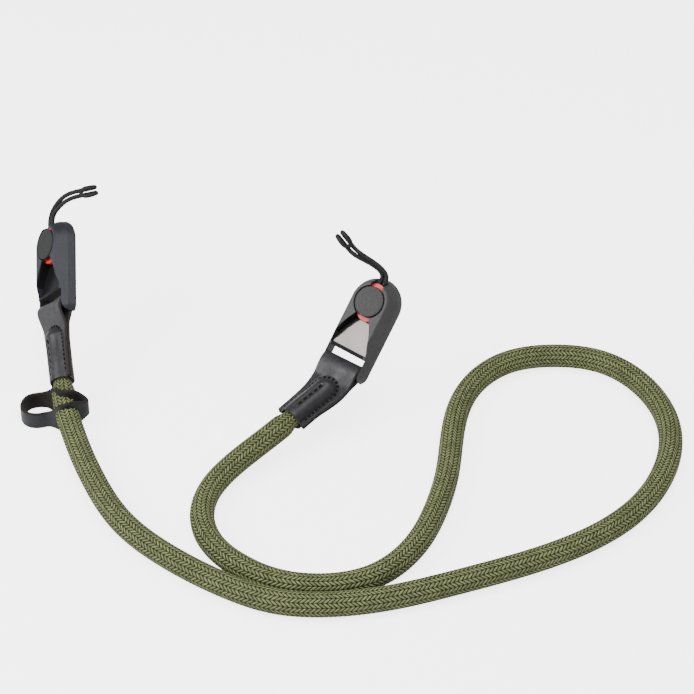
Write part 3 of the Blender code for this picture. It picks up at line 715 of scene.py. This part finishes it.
def make_grain_group():
    """Small cells and soft noise for leather and moulded plastic: a height and a tone."""
    tree, g, given, result = new_group("fine grain", {"Cells": 1500.0}, ["Height", "Tone"])
    cells = g.node("ShaderNodeTexVoronoi", feature="F1")
    g.feed(cells.inputs["Vector"], given["Vector"])
    g.feed(cells.inputs["Scale"], given["Cells"])
    noise = g.node("ShaderNodeTexNoise")
    g.feed(noise.inputs["Vector"], given["Vector"])
    g.feed(noise.inputs["Scale"], g.math("MULTIPLY", given["Cells"], 0.35))
    noise.inputs["Detail"].default_value = 4.0
    pits = g.scale(cells.outputs["Distance"], 0.15, 0.75, 1.0, 0.0)
    soft = g.math("MULTIPLY", noise.outputs["Fac"], 0.4)
    g.feed(result["Height"], g.math("ADD", g.math("MULTIPLY", pits, 0.6), soft))
    g.feed(result["Tone"], noise.outputs["Fac"])
    return tree


GRAIN = make_grain_group()


def make_leather_material(name, outside, deep, sheen, suede):
    """Smooth coated leather outside; the inner face and the cut edges are rough and dull."""
    material, g, shader = new_material(name, 0.45, 0.35, sheen=sheen)
    place = g.node("ShaderNodeTexCoord").outputs["Object"]
    grain = g.group(GRAIN, Vector=place, Cells=1900.0)
    rubbed = g.noise(place, 160.0, 3.0)
    face = g.node("ShaderNodeAttribute", attribute_name="face").outputs["Fac"]
    edge = g.scale(face, 0.15, 0.45, 0.0, 1.0)
    nap = g.noise(place, 1400.0, 4.0, 0.7)
    skin = g.mix(g.scale(grain["Tone"], 0.3, 0.7, 0.0, 1.0), deep, outside)
    dark_suede = (*(value * 0.45 for value in suede[:3]), 1.0)
    flesh = g.mix(g.scale(nap, 0.3, 0.7, 0.0, 1.0), dark_suede, suede)
    g.feed(shader["Base Color"], g.mix(edge, skin, flesh))
    smooth = g.scale(rubbed, 0.3, 0.7, 0.32, 0.54)
    g.feed(shader["Roughness"], g.math("MAXIMUM", smooth, g.math("MULTIPLY", edge, 0.9)))
    relief = g.bump(grain["Height"], 0.45, 0.00008)
    g.feed(shader["Normal"], g.bump(g.math("MULTIPLY", nap, edge), 0.8, 0.00025, relief))
    return material


def make_thread_material():
    """Black waxed thread with its twist showing as a fine noise."""
    material, g, shader = new_material("thread_black", 0.75, 0.15)
    place = g.node("ShaderNodeTexCoord").outputs["Object"]
    twist = g.noise(place, 5200.0, 1.0)
    g.feed(shader["Base Color"], g.mix(twist, (0.002, 0.002, 0.002, 1.0), (0.007, 0.007, 0.008, 1.0)))
    g.feed(shader["Normal"], g.bump(twist, 0.6, 0.0001))
    return material


def tab_line(side_name, end):
    """The line that a tab follows, from the bar to as far as the rope goes in, and its way across.

    It is the smooth curve through the back of the loop, the bar and three places of the rope.
    """
    axes, centre = end_frame(end)
    held = np.array([0.0, ROPE_INSIDE / 2, ROPE_INSIDE])
    if side_name == "left":
        held = rope_length - held
    rope_held = at_distance(rope_line, held)
    bar = centre + axes @ (0, -BAR_DROP, 0)
    pull = unit(rope_held[0] - bar)
    middle = smooth_curve([bar - (TAB_INNER + TAB_WALL) * pull, bar, *rope_held])
    start = middle[1][np.linalg.norm(middle[0] - bar, axis=1).argmin()]
    return dict(middle=middle, start=start, length=middle[1][-1] - start, across=axes[:, 0])


def tab_face(tab, height_of, radius):
    """One face of the whole strip: along the upper layer, round the bar and along the lower layer."""
    even = np.linspace(-1.0, 1.0, TAB_COLUMNS)
    columns = EDGE_CROWD * np.sin(even * math.pi / 2) + (1 - EDGE_CROWD) * even
    shares = np.linspace(0.0, 1.0, TAB_ROWS)
    turns = np.linspace(-math.pi / 2, math.pi / 2, FOLD_ROWS + 2)[1:-1]
    lower = tab_layer(tab, shares[::-1], columns, height_of, -1.0)
    upper = tab_layer(tab, shares, columns, height_of, 1.0)
    return np.concatenate((lower, tab_fold(tab, columns, radius, turns), upper))[::-1]


def seam_steps(tab):
    """The place across and the share of the length where each stitch starts, and where it ends.

    The seam runs up one leg, round the front and down the other leg. The middle row leans a little.
    """
    legs = np.linspace(SEAM_END, BULGE_START, LEG_POINTS)
    bow = np.linspace(0.0, math.pi, LEG_POINTS)[1:-1]
    leg_x = np.full(LEG_POINTS, STITCH_LINE)
    seam_x = np.concatenate((-leg_x, -STITCH_LINE * np.cos(bow), leg_x))
    front = (BULGE_FRONT + SEAM_AHEAD) / tab["length"]
    seam_s = np.concatenate((legs, BULGE_START - front * np.sin(bow), legs[::-1]))
    seam = smooth_curve(np.stack([seam_x, seam_s * tab["length"], np.zeros(len(seam_x))], axis=1))
    holes = at_distance(seam, np.arange(0.0, seam[1][-1], STITCH_STEP))
    row = np.arange(BULGE_START + CENTRE_FROM, CENTRE_TO, CENTRE_STEP / tab["length"])
    lean = np.full(len(row) - 1, CENTRE_LEAN)
    starts = (np.concatenate((holes[:-1, 0], -lean)),
              np.concatenate((holes[:-1, 1] / tab["length"], row[:-1])))
    ends = (np.concatenate((holes[1:, 0], lean)),
            np.concatenate((holes[1:, 1] / tab["length"], row[1:])))
    return np.array(starts), np.array(ends)


def on_tab(tab, place, turn):
    """Points on one layer's outer face, and the way out of the leather there."""
    x, share = place
    middle, wide, through = tab_axes(tab, share)
    height = turn * tab_outside(share, x, tab["length"])
    return middle + x[:, None] * wide + height[:, None] * through, turn * through


def tab_stitches(tab):
    """Both ends and the outward way of every stitch, on the upper and on the lower layer.

    Each end is drawn towards the stitch's middle, so that a little of the seam shows between two.
    """
    starts, ends = seam_steps(tab)
    middles = (starts + ends) / 2
    first, last, outward = [], [], []
    for turn in (1.0, -1.0):
        first.append(on_tab(tab, middles + STITCH_SHARE * (starts - middles), turn)[0])
        points, away = on_tab(tab, middles + STITCH_SHARE * (ends - middles), turn)
        last.append(points)
        outward.append(away)
    return np.concatenate(first), np.concatenate(last), np.concatenate(outward)


tab_finish = make_leather_material(
    "leather_black", outside=(0.021, 0.021, 0.0235, 1.0), deep=(0.0095, 0.0095, 0.011, 1.0),
    sheen=0.05, suede=(0.026, 0.022, 0.020, 1.0))
thread_finish = make_thread_material()
for side_name, side_end in ENDS.items():
    tab = tab_line(side_name, side_end)
    outer_face = tab_face(tab, tab_outside, TAB_INNER + TAB_WALL)
    inner_face = tab_face(tab, tab_inside, TAB_INNER)
    leather = add_piece(f"tab_leather_{side_name}", strip_mesh(
        f"tab_leather_{side_name}", outer_face, inner_face, False,
    ), tab_finish)
    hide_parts(f"leather_tab_{side_name}")
    add_piece(f"tab_stitching_{side_name}", stitch_mesh(
        f"tab_stitching_{side_name}", *tab_stitches(tab),
    ), thread_finish)


# Keeper.
# A cut leather strip bent into a closed loop, smooth outside and suede inside. It rides on the rope
# through two slits, and its free lobe holds the strap's slack.
KEEPER_WALL = 0.0017
KEEPER_STRAND = 0.0030
KEEPER_HEIGHT = 0.0086
KEEPER_EDGE = 0.4               # how far the rounded edges stand over the rows, in walls
KEEPER_ROWS = 288
KEEPER_COLUMNS = 15

# Across, away, height over the surface, and 1 where the strip is slit and stands over the whole rope
KEEPER_ROUTE = [
    (-0.1282, -0.0404, 0.0100, 1.00), (-0.1237, -0.0398, 0.0103, 0.85), (-0.1200, -0.0398, 0.0103, 0.25),
    (-0.1180, -0.0416, 0.0102, 0.00), (-0.1204, -0.0438, 0.0096, 0.25), (-0.1236, -0.0452, 0.0086, 0.75),
    (-0.1268, -0.0466, 0.0080, 0.85), (-0.1303, -0.0465, 0.0076, 0.70), (-0.1336, -0.0447, 0.0055, 0.20),
    (-0.1368, -0.0438, 0.0044, 0.00), (-0.1400, -0.0446, 0.0043, 0.00), (-0.1445, -0.0443, 0.0043, 0.00),
    (-0.1480, -0.0412, 0.0043, 0.00), (-0.1486, -0.0360, 0.0043, 0.00), (-0.1462, -0.0315, 0.0044, 0.00),
    (-0.1420, -0.0300, 0.0045, 0.00), (-0.1378, -0.0312, 0.0059, 0.15), (-0.1338, -0.0350, 0.0086, 0.70),
]


def keeper_faces():
    """The keeper's outer and inner faces as grids, with one upright row for each place of the loop.

    The curve goes three times round the route, and the turn in the middle is kept, so the loop
    closes. A row reaches as far up and down as the strip is high there, and the two faces lie half
    a wall to either side, square to the loop's direction.
    """
    knots = np.array(KEEPER_ROUTE * 3, float)
    line = smooth_curve(knots)
    off = np.linalg.norm(line[0] - knots[0], axis=1)
    third = len(off) // 3
    half = third // 2
    start = line[1][half + off[half:third + half].argmin()]
    end = line[1][third + half + off[third + half:2 * third + half].argmin()]
    loop = at_distance(line, np.linspace(start, end, KEEPER_ROWS + 1)[:-1])
    centre = loop[:, :3] - np.array([0.0, 0.0, REST_HEIGHT])
    full = ROPE_DIAMETER + 2 * (CORD_GAP + KEEPER_STRAND)
    tall = (KEEPER_HEIGHT + (full - KEEPER_HEIGHT) * np.clip(loop[:, 3], 0.0, 1.0)) / 2
    ahead = np.roll(centre, -1, axis=0) - np.roll(centre, 1, axis=0)
    out = unit(np.stack([-ahead[:, 1], ahead[:, 0], np.zeros(KEEPER_ROWS)], axis=1))
    columns = np.linspace(-1.0, 1.0, KEEPER_COLUMNS)
    lift = (tall - KEEPER_WALL * KEEPER_EDGE)[:, None] * columns[None, :]
    middle = centre[:, None] + lift[..., None] * np.array([0.0, 0.0, 1.0])
    side = KEEPER_WALL / 2 * out[:, None]
    return middle + side, middle - side


keeper_finish = make_leather_material(
    "keeper_leather", outside=(0.0035, 0.0050, 0.0088, 1.0), deep=(0.0020, 0.0028, 0.0050, 1.0),
    sheen=0.03, suede=(0.015, 0.011, 0.009, 1.0))
keeper = add_piece("keeper_strip", strip_mesh(
    "keeper_strip", *keeper_faces(), True,
), keeper_finish)
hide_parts("keeper_loop")


# Housings, ramps and anchor discs.
# Moulded nylon bodies with a fine spark-eroded texture, a polished black ramp plate in each, and the
# round anchor: a dull grey cap over a coral red layer that shows at both ends.
def make_plastic_graph(name, colour, second, roughness, cells, strength, specular):
    """Moulded plastic: a fine texture, a slight change of tone, and rougher or glossier patches."""
    material, g, shader = new_material(name, roughness, specular)
    place = g.node("ShaderNodeTexCoord").outputs["Object"]
    grain = g.group(GRAIN, Vector=place, Cells=cells)
    cloud = g.noise(place, 90.0, 2.0)
    tone = g.math("ADD", g.math("MULTIPLY", grain["Tone"], 0.6), g.math("MULTIPLY", cloud, 0.4))
    g.feed(shader["Base Color"], g.mix(g.scale(tone, 0.3, 0.7, 0.0, 1.0), colour, second))
    g.feed(shader["Roughness"], g.scale(cloud, 0.3, 0.7, roughness - 0.04, roughness + 0.05))
    g.feed(shader["Normal"], g.bump(grain["Height"], strength, 0.00005))
    return material, g, shader


# Ramps and discs are one part at both ends; the left copies are painted darker as painted shade
# Name, two colours, roughness, grain cells a metre, depth of the grain, and shine
PLASTICS = {
    "release_ramp_right": (
        "plastic_gloss_right_lit_copy",
        (0.008, 0.008, 0.009, 1.0), (0.012, 0.012, 0.013, 1.0), 0.15, 1400.0, 0.12, 0.9),
    "release_ramp_left": (
        "plastic_gloss_left_shaded_copy",
        (0.006, 0.006, 0.007, 1.0), (0.008, 0.008, 0.009, 1.0), 0.42, 2200.0, 0.04, 0.15),
    "anchor_disc_right": (
        "disc_grey_right_lit_copy",
        (0.013, 0.013, 0.0145, 1.0), (0.036, 0.035, 0.036, 1.0), 0.50, 2600.0, 0.5, 0.3),
    "anchor_disc_left": (
        "disc_grey_left_shaded_copy",
        (0.011, 0.0115, 0.012, 1.0), (0.019, 0.0195, 0.020, 1.0), 0.55, 2600.0, 0.4, 0.25),
    "anchor_ring": (
        "disc_red",
        (0.62, 0.022, 0.014, 1.0), (0.70, 0.032, 0.022, 1.0), 0.36, 2600.0, 0.2, 0.35),
}
PLAIN_FINISHES = {piece: make_plastic_graph(*values)[0] for piece, values in PLASTICS.items()}
ramp_shader = PLAIN_FINISHES["release_ramp_right"].node_tree.nodes["Principled BSDF"]
ramp_shader.inputs["Specular Tint"].default_value = (1.0, 0.90, 0.87, 1.0)
# One housing part at both ends: the right is painted lighter and the left darker and bluer, as painted light
# and shade
HOUSING_LIT_AND_SHADED_GREYS = {
    "right": ((0.031, 0.0307, 0.0320, 1.0), (0.049, 0.0480, 0.0500, 1.0)),
    "left": ((0.0125, 0.0127, 0.0190, 1.0), (0.021, 0.0213, 0.0300, 1.0)),
}
HOUSING_FINISH = (0.50, 3200.0, 0.5, 0.35)
RECESS_HALF = 0.0093
RECESS_DEEP = 0.0006            # below the face, where the polished recess starts
RECESS_FOOT = -0.0268
RECESS_TOP = -0.0066
CROSS_WALL_TOP = -0.0238
RECESS_SMOOTHER = 0.30          # roughness taken off in the recess, and added on the cross wall
CROSS_WALL_ROUGHER = 0.40


def make_housing_material(side):
    """Grey textured nylon; the recess that the disc slides along is polished, as the plate is.

    The recess is painted near black, as painted shade for the shade that falls in it. The mask is a
    box in the housing's own directions, which a Mapping node turns the place into. The cross wall at
    the recess's foot gets the same painted shade, but is dull.
    """
    material, g, shader = make_plastic_graph(f"plastic_grey_painted_shade_{side}", *HOUSING_LIT_AND_SHADED_GREYS[side], *HOUSING_FINISH)
    axes, centre = end_frame(ENDS[side])
    turned = Matrix(axes.T.tolist())
    mapping = g.node("ShaderNodeMapping")
    g.feed(mapping.inputs["Vector"], g.node("ShaderNodeTexCoord").outputs["Object"])
    mapping.inputs["Rotation"].default_value = turned.to_euler()
    mapping.inputs["Location"].default_value = -(turned @ Vector(centre))
    own = g.node("ShaderNodeSeparateXYZ")
    g.feed(own.inputs[0], mapping.outputs[0])
    sunk = g.math("LESS_THAN", own.outputs["Z"], HOUSING_THICKNESS / 2 - RECESS_DEEP)
    front = g.math("GREATER_THAN", own.outputs["Z"], -HOUSING_THICKNESS / 4)
    across = g.math("LESS_THAN", g.math("ABSOLUTE", own.outputs["X"]), RECESS_HALF)
    below = g.math("LESS_THAN", own.outputs["Y"], RECESS_TOP)
    above = g.math("GREATER_THAN", own.outputs["Y"], RECESS_FOOT)
    wall = g.math("LESS_THAN", own.outputs["Y"], CROSS_WALL_TOP)
    inside = g.math("MULTIPLY", front, g.math("MAXIMUM", sunk, wall))
    recess_shade_mask = g.math("MULTIPLY", inside, g.math("MULTIPLY", across, g.math("MULTIPLY", below, above)))
    grey = shader["Base Color"].links[0].from_socket
    # Painted shade: the recess and the cross wall are painted near black for the shade in them
    g.feed(shader["Base Color"], g.mix(recess_shade_mask, grey, (0.006, 0.006, 0.007, 1.0)))
    rough = shader["Roughness"].links[0].from_socket
    polished = g.math("MULTIPLY", recess_shade_mask, g.math("SUBTRACT", 1.0, wall))
    duller = g.math("ADD", rough, g.math("MULTIPLY", g.math("MULTIPLY", recess_shade_mask, wall), CROSS_WALL_ROUGHER))
    g.feed(shader["Roughness"], g.math("SUBTRACT", duller, g.math("MULTIPLY", polished, RECESS_SMOOTHER)))
    return material


for side_name in ENDS:
    finishes = {
        "connector_housing": make_housing_material(side_name),
        "release_ramp": PLAIN_FINISHES[f"release_ramp_{side_name}"],
        "anchor_disc": PLAIN_FINISHES[f"anchor_disc_{side_name}"],
        "anchor_ring": PLAIN_FINISHES["anchor_ring"],
    }
    for piece_name, finish in finishes.items():
        for material_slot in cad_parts[f"{piece_name}_{side_name}"].material_slots:
            material_slot.material = finish
